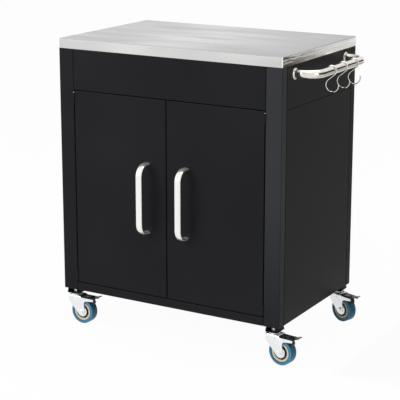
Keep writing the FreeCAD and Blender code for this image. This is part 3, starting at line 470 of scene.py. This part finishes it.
def joinRings(shape, rings):
    for ring, after in zip(rings, rings[1:]):
        for k in range(len(ring)):
            shape.faces.new((ring[k - 1], ring[k], after[k], after[k - 1]))


def addTurned(shape, profile, matrix, around, steps):   # closed profile turned about Y
    rings = []
    for radius, along in softCorners(profile, steps):
        ring = []
        for k in range(around):
            turn = 2 * math.pi * k / around
            place = Vector((radius * math.cos(turn), along, radius * math.sin(turn)))
            ring.append(shape.verts.new(matrix @ place))
        rings.append(ring)
    joinRings(shape, rings + rings[:1])


# Radii are shares of the width across flats, the slope of the chamfer is in degrees.
hexHead = {"chamfer": 0.485, "top": 0.47, "dish": 0.25, "slope": 30.0}


def addHexHead(shape, matrix, flats, height, dish=0.0, around=72):   # chamfered hexagon along +Y
    rings = [[], [], [], [], []]
    slope = math.tan(math.radians(hexHead["slope"]))
    for k in range(around):
        turn = 2 * math.pi * k / around
        edge = flats / 2 / math.cos((turn + math.pi / 6) % (math.pi / 3) - math.pi / 6)
        fall = max(0.0, edge - hexHead["chamfer"] * flats) * slope
        profile = ((edge, 0.0), (edge, height - fall), (hexHead["top"] * flats, height),
                   (hexHead["dish"] * flats, height - dish), (0.0, height - dish))
        for ring, (radius, along) in zip(rings, profile):
            place = Vector((radius * math.cos(turn), along, radius * math.sin(turn)))
            ring.append(shape.verts.new(matrix @ place))
    joinRings(shape, rings)


def addPiece(name, shape, nodeName, sharpAngle, matrix=None):   # stands in for a node, on the node's body
    bmesh.ops.remove_doubles(shape, verts=shape.verts, dist=1e-7)
    bmesh.ops.recalc_face_normals(shape, faces=shape.faces)
    mesh = bpy.data.meshes.new(name)
    shape.to_mesh(mesh)
    shape.free()
    mesh.polygons.foreach_set("use_smooth", [True] * len(mesh.polygons))
    mesh.set_sharp_from_angle(angle=math.radians(sharpAngle))
    slot, body = slotOfNode[nodeName], bodyOfNode[nodeName]
    mesh.materials.append(finishes[slot])
    piece = newObject(name, mesh)
    if matrix:
        piece.matrix_world = matrix
    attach(piece, body)
    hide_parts(nodeName)
    return piece


softening = {"merge": 1e-6, "flatAngle": 0.5, "edgeAngle": 32.0, "segments": 2}


def addSoftened(name, nodeName, width):   # the node's own form with its edges broken
    shape = bmesh.new()
    shape.from_mesh(cartNodes[nodeName].data)
    bmesh.ops.remove_doubles(shape, verts=shape.verts, dist=softening["merge"])
    flat = math.radians(softening["flatAngle"])
    bmesh.ops.dissolve_limit(shape, angle_limit=flat, verts=shape.verts, edges=shape.edges)
    piece = addPiece(name, shape, nodeName, sharpAngle=180.0)
    edge = piece.modifiers.new("broken edges", "BEVEL")
    edge.width = width
    edge.segments = softening["segments"]
    edge.limit_method = "ANGLE"
    edge.angle_limit = math.radians(softening["edgeAngle"])
    edge.harden_normals = True


# Casters. Each is built with the trailing direction as X and the axle as Y.

wheelSize = {"radius": 0.040, "halfWidth": 0.0155, "shoulder": 0.0052, "lip": 0.0007, "seatHalf": 0.0136,
             "rimRadius": 0.0306, "rimHalf": 0.0130, "ringInner": 0.0232,
             "webHalf": 0.0045, "webFillet": 0.0014, "hubRadius": 0.0112, "bore": 0.00405,
             "braces": 6, "braceWidth": 0.0016, "braceRoot": 0.001, "braceDrop": 0.0028, "braceEdge": 0.0003}


def casterMatrix(corner, jointName):
    roll = joints["roll_" + corner]
    ahead = Vector(roll["pos_m"]) - Vector(joints["swivel_" + corner]["pos_m"])
    ahead.z = 0.0
    matrix = Matrix((ahead.normalized(), Vector(roll["axis"]), Vector((0, 0, 1)))).transposed().to_4x4()
    matrix.translation = joints[jointName + "_" + corner]["pos_m"]
    return matrix


def makeTyre():
    size = wheelSize
    radius, half, seat = size["radius"], size["halfWidth"], size["rimRadius"]
    groove, wall = half - size["lip"], radius - size["shoulder"]
    side = [(seat, size["seatHalf"], 0.0), (seat + 0.0007, half - 0.0006, 0.0003),     # seat on the rim
            (seat + 0.0018, half, 0.0004), (seat + 0.0024, groove, 0.0003),            # bead and its foot
            (wall - 0.0006, groove, 0.0006), (wall + 0.0004, half - 0.0002, 0.0006),   # face and its lip
            (radius, half - 0.0012, size["shoulder"]), (radius, 0.0006, 0.0)]          # shoulder and tread
    shape = bmesh.new()
    addTurned(shape, mirrored(side), Matrix(), around=120, steps=5)
    return shape


def makeRim():
    size = wheelSize
    half, web, fillet = size["rimHalf"], size["webHalf"], size["webFillet"]
    hub, ring, outer = size["hubRadius"], size["ringInner"], size["rimRadius"]
    side = [(size["bore"], half, 0.0), (hub - 0.0006, half, 0.0004), (hub, half - 0.0006, 0.0004),   # hub
            (hub + 0.0012, web, fillet), (ring - 0.0016, web, fillet),                               # web
            (ring, half - 0.0008, 0.0004), (ring + 0.0010, half, 0.0005),                            # ring
            (outer - 0.0014, half, 0.0005), (outer, half - 0.0010, 0.0006)]
    shape = bmesh.new()
    addTurned(shape, mirrored(side), Matrix(), around=96, steps=3)
    for k in range(size["braces"]):       # webs that brace the ring on both sides
        turn = Matrix.Rotation(2 * math.pi * (k + 0.5) / size["braces"], 4, "Y")
        for facing in (-1, 1):
            low, high = sorted((facing * (web - size["braceRoot"]), facing * (half - size["braceDrop"])))
            middle = Matrix.Translation(((hub + ring) / 2, (low + high) / 2, 0))
            spread = Matrix.Diagonal((ring - hub, high - low, size["braceWidth"], 1))
            brace = bmesh.ops.create_cube(shape, size=1.0, matrix=turn @ middle @ spread)
            edges = {edge for vert in brace["verts"] for edge in vert.link_edges}
            bmesh.ops.bevel(shape, geom=list(edges), offset=size["braceEdge"], segments=2, profile=0.5,
                            affect="EDGES")
    return shape


axleSize = {"radius": 0.004, "flats": 0.013, "head": 0.005, "nutDish": 0.0006, "forkHalf": 0.0195,
            "gapHalf": 0.0170, "coverRadius": 0.0172, "coverInner": 0.0137, "coverSheet": 0.0018,
            "clearance": 0.0001, "pinRadius": 0.0025, "pinProud": 0.001, "pinRounding": 0.0007}


def makeAxleSet(corner):                  # axle bolt with head and nut, dust covers and the pedal's pin
    size = axleSize
    radius, fork, flats, head = size["radius"], size["forkHalf"], size["flats"], size["head"]
    hub = casterMatrix(corner, "roll")
    across = Matrix.Rotation(math.pi, 4, "X")
    shape = bmesh.new()
    addTurned(shape, mirrored([(0, fork, 0), (radius, fork, 0)]), hub, around=32, steps=1)
    outward = Matrix.Translation((0, fork, 0))
    addHexHead(shape, hub @ outward, flats, head)
    addHexHead(shape, hub @ across @ outward, flats, head, size["nutDish"])
    wall, cup = size["gapHalf"] - size["clearance"], wheelSize["rimHalf"] + 0.0003
    bore, inner, outer = radius + size["clearance"], size["coverInner"], size["coverRadius"]
    inside = wall - size["coverSheet"]
    cover = [(bore, wall, 0.0), (inner, wall, 0.0008), (outer, wall - 0.0019, 0.0010), (outer, cup, 0.0),
             (outer - 0.0012, cup, 0.0), (inner - 0.0004, inside, 0.0008), (bore, inside, 0.0)]
    for turned in (Matrix(), across):
        addTurned(shape, cover, hub @ turned, around=72, steps=3)
    end = fork + size["pinProud"]
    pin = mirrored([(0, end, 0), (size["pinRadius"], end, size["pinRounding"])])
    addTurned(shape, pin, casterMatrix(corner, "brake"), around=32, steps=3)
    return shape


edgeWidths = {"fork": 0.0004, "pedal": 0.0006, "brackets": 0.0005, "heads": 0.0003, "nuts": 0.0005}


def addCaster(corner):
    label = corner.title().replace("_", "")
    node = "caster_" + corner + "_"
    hub = casterMatrix(corner, "roll")
    addPiece("tyre" + label, makeTyre(), node + "tyre", sharpAngle=60.0, matrix=hub)
    addPiece("rim" + label, makeRim(), node + "rim", sharpAngle=40.0, matrix=hub)
    addPiece("axle" + label, makeAxleSet(corner), node + "axle", sharpAngle=32.0)
    for part in ("fork", "pedal"):
        addSoftened(part + label, node + part, edgeWidths[part])


for corner in ("front_left", "front_right", "back_left", "back_right"):
    addCaster(corner)
for part in ("brackets", "heads", "nuts"):
    addSoftened("caster" + part.title(), "caster_" + part, edgeWidths[part])
print("casters made")


# Worktop cap and hinge pins

worktopSize = {"corner": 0.003, "cornerLeast": 0.0003, "edge": 0.0013, "under": 0.0004, "lip": 0.014,
               "sheet": 0.0008, "support": 0.0008}


def roundedLoop(low, high, inset, z, steps=8):   # level loop with support points beside each corner
    extra = worktopSize["support"]
    radius = max(worktopSize["corner"] - inset, worktopSize["cornerLeast"])
    points = []
    for signX, signY, start in ((1, 1, 0), (-1, 1, 90), (-1, -1, 180), (1, -1, 270)):
        x = (high.x if signX > 0 else low.x) - signX * (inset + radius)
        y = (high.y if signY > 0 else low.y) - signY * (inset + radius)
        arc = [Vector((x + radius * math.cos(turn), y + radius * math.sin(turn), z))
               for turn in (math.radians(start + 90 * k / steps) for k in range(steps + 1))]
        entry, leave = arc[0].copy(), arc[-1].copy()
        if start % 180:
            entry.x -= signX * extra
            leave.y -= signY * extra
        else:
            entry.y -= signY * extra
            leave.x -= signX * extra
        points += [entry] + arc + [leave]
    return points


def addWorktop():                         # folded steel cap with rounded corners and a soft upper edge
    size = worktopSize
    low, high = nodeBox("worktop_skin")
    edge, under, lip, extra = size["edge"], size["under"], size["lip"], size["support"]
    levels = [(lip, low.z + size["sheet"]), (lip, low.z), (under + extra, low.z), (under, low.z),
              (0.0, low.z + under), (0.0, low.z + under + extra), (0.0, high.z - edge - extra)]
    for angle in range(0, 91, 15):
        turn = math.radians(angle)
        levels.append((edge * (1 - math.cos(turn)), high.z - edge * (1 - math.sin(turn))))
    levels.append((edge + extra, high.z))
    shape = bmesh.new()
    loops = [[shape.verts.new(point) for point in roundedLoop(low, high, inset, z)] for inset, z in levels]
    joinRings(shape, loops)
    shape.faces.new(loops[-1])
    addPiece("worktopCap", shape, "worktop_skin", sharpAngle=40.0)


hingePinSize = {"radius": 0.0015, "half": 0.015, "headRadius": 0.0024, "headHeight": 0.001,
                "headRounding": 0.0009, "neckRounding": 0.0003}


def addHingePins():
    size = hingePinSize
    head, half = size["headRadius"], size["half"]
    end = half + size["headHeight"]
    profile = mirrored([(0.0, end, 0.0), (head, end, size["headRounding"]),
                        (head, half, size["neckRounding"]), (size["radius"], half, 0.0)])
    low, high = nodeBox("hinge_pins")
    upright = Matrix.Rotation(math.pi / 2, 4, "X")
    shape = bmesh.new()
    for x in (low.x + head, high.x - head):
        for z in (low.z + end, high.z - end):
            place = Matrix.Translation((x, (low.y + high.y) / 2, z))
            addTurned(shape, profile, place @ upright, around=32, steps=4)
    pins = addPiece("hingePins", shape, "hinge_pins", sharpAngle=50.0)
    # painted shade: only the uppermost pin head keeps the bright zinc
    pins.data.materials[0] = makePinSteel("pin zinc with painted shade", pinLook, high.z - end)


addWorktop()
addHingePins()
print("worktop and hinge pins made")


# Bent bars: handles, side rail and hooks

def bentPath(corners, radius, steps):     # straight runs joined by true arcs
    points = [corners[0]]
    for before, corner, after in zip(corners, corners[1:], corners[2:]):
        back, ahead = (before - corner).normalized(), (after - corner).normalized()
        half = back.angle(ahead) / 2
        centre = corner + (back + ahead).normalized() * (radius / math.sin(half))
        first = (corner + back * (radius / math.tan(half)) - centre).normalized()
        last = (corner + ahead * (radius / math.tan(half)) - centre).normalized()
        for step in range(steps + 1):
            points.append(centre + first.slerp(last, step / steps).normalized() * radius)
    return points + [corners[-1]]


def addSwept(shape, path, normal, section, roundEnd=0.0):   # section is (along the normal, outward) pairs
    rings = []
    for i, point in enumerate(path):
        ahead = (path[min(i + 1, len(path) - 1)] - path[max(i - 1, 0)]).normalized()
        ends = [(0.0, 1.0)]
        if roundEnd and i in (0, len(path) - 1):
            turns = [math.radians(angle) for angle in (80, 60, 40, 20)]
            ends = [(-roundEnd * math.sin(turn), math.cos(turn)) for turn in turns] + [(0.0, 1.0)]
            if i:
                ends = [(-shift, scale) for shift, scale in ends[::-1]]
        side = ahead.cross(normal)
        for shift, scale in ends:
            rings.append([shape.verts.new(point + ahead * shift + (normal * a + side * b) * scale)
                          for a, b in section])
    joinRings(shape, rings)
    for ring in (rings[0], rings[-1]):
        shape.faces.new(ring)


def roundSection(radius, around):
    turns = [2 * math.pi * k / around for k in range(around)]
    return [(radius * math.cos(turn), radius * math.sin(turn)) for turn in turns]


def crownedSection(halfWidth, halfDepth, power, around=56):   # flat oval whose faces swell a little
    points = []
    for k in range(around):
        turn = 2 * math.pi * (k + 0.5) / around
        across, outward = math.cos(turn), math.sin(turn)
        points.append((math.copysign(halfWidth * abs(across) ** (2 / power), across),
                       math.copysign(halfDepth * abs(outward) ** (2 / power), outward)))
    return points


handleSize = {"depth": 0.008, "bend": 0.034, "power": 2.5}   # a power of 2 is an oval, more is squarer


def addHandle(side):
    node = "door_" + side + "_handle"
    low, high = nodeBox(node)
    half = handleSize["depth"] / 2
    x, y, door, bottom, top = (low.x + high.x) / 2, low.y + half, high.y, low.z + half, high.z - half
    corners = [Vector(place) for place in ((x, door, bottom), (x, y, bottom), (x, y, top), (x, door, top))]
    section = crownedSection((high.x - low.x) / 2, half, handleSize["power"])
    shape = bmesh.new()
    addSwept(shape, bentPath(corners, handleSize["bend"], steps=28), Vector((1, 0, 0)), section)
    addPiece("handle" + side.title(), shape, node, sharpAngle=50.0)


railSize = {"radius": 0.0125, "bend": 0.048, "flangeRadius": 0.017, "flangeHeight": 0.005,
            "flangeBore": 0.0126}


def addRail():
    low, high = nodeBox("side_rail")
    radius = railSize["radius"]
    wall, x, z = low.x, high.x - radius, (low.z + high.z) / 2
    front, back = low.y + radius, high.y - radius
    corners = [Vector(place) for place in ((wall, front, z), (x, front, z), (x, back, z), (wall, back, z))]
    path = bentPath(corners, railSize["bend"], steps=32)
    shape = bmesh.new()
    addSwept(shape, path, Vector((0, 0, 1)), roundSection(radius, around=64))
    addPiece("sideRail", shape, "side_rail", sharpAngle=50.0)
    height, outer, bore = railSize["flangeHeight"], railSize["flangeRadius"], railSize["flangeBore"]
    profile = [(bore, 0, 0), (outer, 0, 0), (outer, 0.45 * height, 0.0012),
               (outer - 0.4 * height, 0.8 * height, 0.0016), (bore + 0.2 * height, height, 0.0008),
               (bore, height, 0)]
    shape = bmesh.new()
    for y in (front, back):
        outward = Matrix.Translation((wall, y, z)) @ Matrix.Rotation(-math.pi / 2, 4, "Z")
        addTurned(shape, profile, outward, around=72, steps=5)
    addPiece("railFlanges", shape, "side_rail_flanges", sharpAngle=45.0)


# The seat is the radius of the upper arc, round the rail; the arcs' free ends are in degrees.
hookSize = {"wire": 0.00175, "loop": 0.020, "drop": 0.043, "shift": 0.00165, "seat": 0.01445,
            "start": 200.0, "end": 375.0, "steps": 40, "tip": 0.6}


def arcPoints(centre, radius, start, end, steps):
    turns = [math.radians(start + (end - start) * k / steps) for k in range(steps + 1)]
    return [centre + Vector((radius * math.cos(turn), 0, radius * math.sin(turn))) for turn in turns]


def addHook(number):
    size = hookSize
    seat, loop, drop, shift = size["seat"], size["loop"], size["drop"], size["shift"]
    upper = Vector(joints["hook_%d_swing" % number]["pos_m"])
    lower = upper + Vector((shift, 0, -drop))
    line = math.degrees(math.atan2(-drop, shift))
    lean = math.degrees(math.acos((seat + loop) / math.hypot(drop, shift)))
    path = (arcPoints(upper, seat, size["start"], line + lean, size["steps"])
            + arcPoints(lower, loop, line + 180 + lean, size["end"], size["steps"]))
    shape = bmesh.new()
    section = roundSection(size["wire"], around=20)
    addSwept(shape, path, Vector((0, 1, 0)), section, roundEnd=size["tip"] * size["wire"])
    addPiece("hook%d" % number, shape, "s_hook_%d" % number, sharpAngle=60.0)


for side in ("left", "right"):
    addHandle(side)
addRail()
for number in (1, 2, 3):
    addHook(number)
print("bars made")


# Studio

studio = {"floorHalf": 14.0, "floorColour": (0.93, 0.93, 0.93), "floorRoughness": 0.9, "floorGlow": 0.965,
          "worldColour": (0.90, 0.91, 0.93), "worldStrength": 0.45, "white": (1.0, 1.0, 1.0)}


def seenMask(tree):                       # 1 for what the camera, a mirror or clear material shows
    rays = tree.nodes.new("ShaderNodeLightPath").outputs
    seen = mathNode(tree, "MAXIMUM", rays["Is Camera Ray"], rays["Is Glossy Ray"])
    return mathNode(tree, "MAXIMUM", seen, rays["Is Transmission Ray"])


def mixSurface(tree, factor, first, second, output):
    mixed = newNode(tree, "MixShader", {"Fac": factor, 1: first, 2: second}).outputs["Shader"]
    setInputs(tree, tree.nodes[output], {"Surface": mixed})


def makeFloor():
    mesh = bpy.data.meshes.new("studioFloor")
    half = studio["floorHalf"]
    corners = [(-half, -half, 0), (half, -half, 0), (half, half, 0), (-half, half, 0)]
    mesh.from_pydata(corners, [], [(0, 1, 2, 3)])
    floor = newObject("studioFloor", mesh)
    material, tree, shader = newMaterial("pale floor")
    setInputs(tree, shader, {"Base Color": studio["floorColour"], "Roughness": studio["floorRoughness"],
                             "Specular IOR Level": 0.0})
    glow = newNode(tree, "Emission", {"Color": studio["white"]}).outputs["Emission"]
    share = mathNode(tree, "MULTIPLY", seenMask(tree), studio["floorGlow"])
    mixSurface(tree, share, shader.outputs["BSDF"], glow, "Material Output")
    mesh.materials.append(material)


# The card's line runs through (x, z) points; each mask is (where it starts, where it ends).
flagCard = {"line": ((0.5, 0.003), (1.25, 0.10), (1.5, 1.9)), "width": (-0.2, 4.6),
            "pale": (0.82, 0.81, 0.77), "dark": (0.02, 0.018, 0.016), "darkFrom": (0.70, 0.76),
            "darkTo": (1.35, 1.5), "glowAlong": (1.9, 2.4), "glowAbove": (0.44, 0.54), "glowStrength": 1.2}


def makeFlag():                           # card on the right that the side and the rail mirror
    corners = [(x, y, z) for x, z in flagCard["line"] for y in flagCard["width"]]
    mesh = bpy.data.meshes.new("studioFlag")
    mesh.from_pydata(corners, [], [(0, 1, 3, 2), (2, 3, 5, 4)])
    flag = newObject("studioFlag", mesh)
    flag.visible_camera = False
    material, tree, shader = newMaterial("flag cloth")
    spot = splitVector(tree, coordinate(tree, "Object"))
    band = mathNode(tree, "MULTIPLY", rangeNode(tree, spot["Z"], *flagCard["darkFrom"]),
                    rangeNode(tree, spot["Z"], *flagCard["darkTo"], 1.0, 0.0))
    glow = mathNode(tree, "MULTIPLY", rangeNode(tree, spot["Y"], *flagCard["glowAlong"]),
                    rangeNode(tree, spot["Z"], *flagCard["glowAbove"]))
    glow = mathNode(tree, "MULTIPLY", glow, rangeNode(tree, spot["Z"], *flagCard["darkFrom"], 1.0, 0.0))
    setInputs(tree, shader, {"Base Color": mixNode(tree, band, flagCard["pale"], flagCard["dark"]),
                             "Emission Color": studio["white"],
                             "Emission Strength": mathNode(tree, "MULTIPLY", glow, flagCard["glowStrength"]),
                             "Roughness": 1.0, "Specular IOR Level": 0.0})
    mesh.materials.append(material)


def makeWorld():                          # grey to light the cart, white where it is seen
    world = bpy.data.worlds.new("studio")
    world.use_nodes = True
    bpy.context.scene.world = world
    tree = world.node_tree
    ambient = tree.nodes["Background"]
    setInputs(tree, ambient, {"Color": studio["worldColour"], "Strength": studio["worldStrength"]})
    shown = newNode(tree, "Background", {"Color": studio["white"], "Strength": 1.0}).outputs["Background"]
    mixSurface(tree, seenMask(tree), ambient.outputs["Background"], shown, "World Output")


lamps = {"keyLamp": {"place": (-1.9, -3.2, 2.6), "target": (0.0, 0.0, 0.5), "size": 2.4, "power": 90.0,
                     "colour": (0.97, 0.98, 1.0)},
         "fillLamp": {"place": (3.4, -0.6, 1.9), "target": (0.0, 0.0, 0.5), "size": 2.2, "power": 7.5,
                      "colour": (1.0, 0.99, 0.97)},
         "topLamp": {"place": (0.2, 0.4, 3.4), "target": (0.0, 0.0, 0.6), "size": 2.6, "power": 36.0,
                     "colour": (1.0, 1.0, 1.0)}}


def addLamp(name, look):
    lamp = bpy.data.lights.new(name, "AREA")
    lamp.shape = "SQUARE"
    lamp.size = look["size"]
    lamp.energy = look["power"]
    lamp.color = look["colour"]
    holder = newObject(name, lamp)
    holder.location = look["place"]
    ahead = Vector(look["target"]) - Vector(look["place"])
    holder.rotation_euler = ahead.to_track_quat("-Z", "Y").to_euler()


# Angles are in radians; focal length, middle and frame are in pixels of a view 400 pixels wide.
cameraView = {"position": (2.0472, -3.5986, 1.5078), "yaw": -0.5296, "pitch": 0.2357, "focal": 1365.2,
              "middle": (200.0, 168.0), "frame": 400.0, "sensor": 36.0, "reach": 60.0}


def addCamera():
    view = cameraView
    data = bpy.data.cameras.new("photoView")
    data.sensor_width = view["sensor"]
    data.lens = view["focal"] / view["frame"] * data.sensor_width
    data.shift_x = (view["frame"] / 2 - view["middle"][0]) / view["frame"]
    data.shift_y = (view["middle"][1] - view["frame"] / 2) / view["frame"]
    data.clip_end = view["reach"]
    camera = newObject("photoView", data)
    camera.location = view["position"]
    yaw, pitch = view["yaw"], view["pitch"]
    ahead = Vector((math.sin(yaw) * math.cos(pitch), math.cos(yaw) * math.cos(pitch), -math.sin(pitch)))
    camera.rotation_euler = ahead.to_track_quat("-Z", "Y").to_euler()
    bpy.context.scene.camera = camera


makeFloor()
makeFlag()
makeWorld()
for name, look in lamps.items():
    addLamp(name, look)
addCamera()
bpy.context.scene.view_settings.view_transform = "Standard"
print("studio ready")
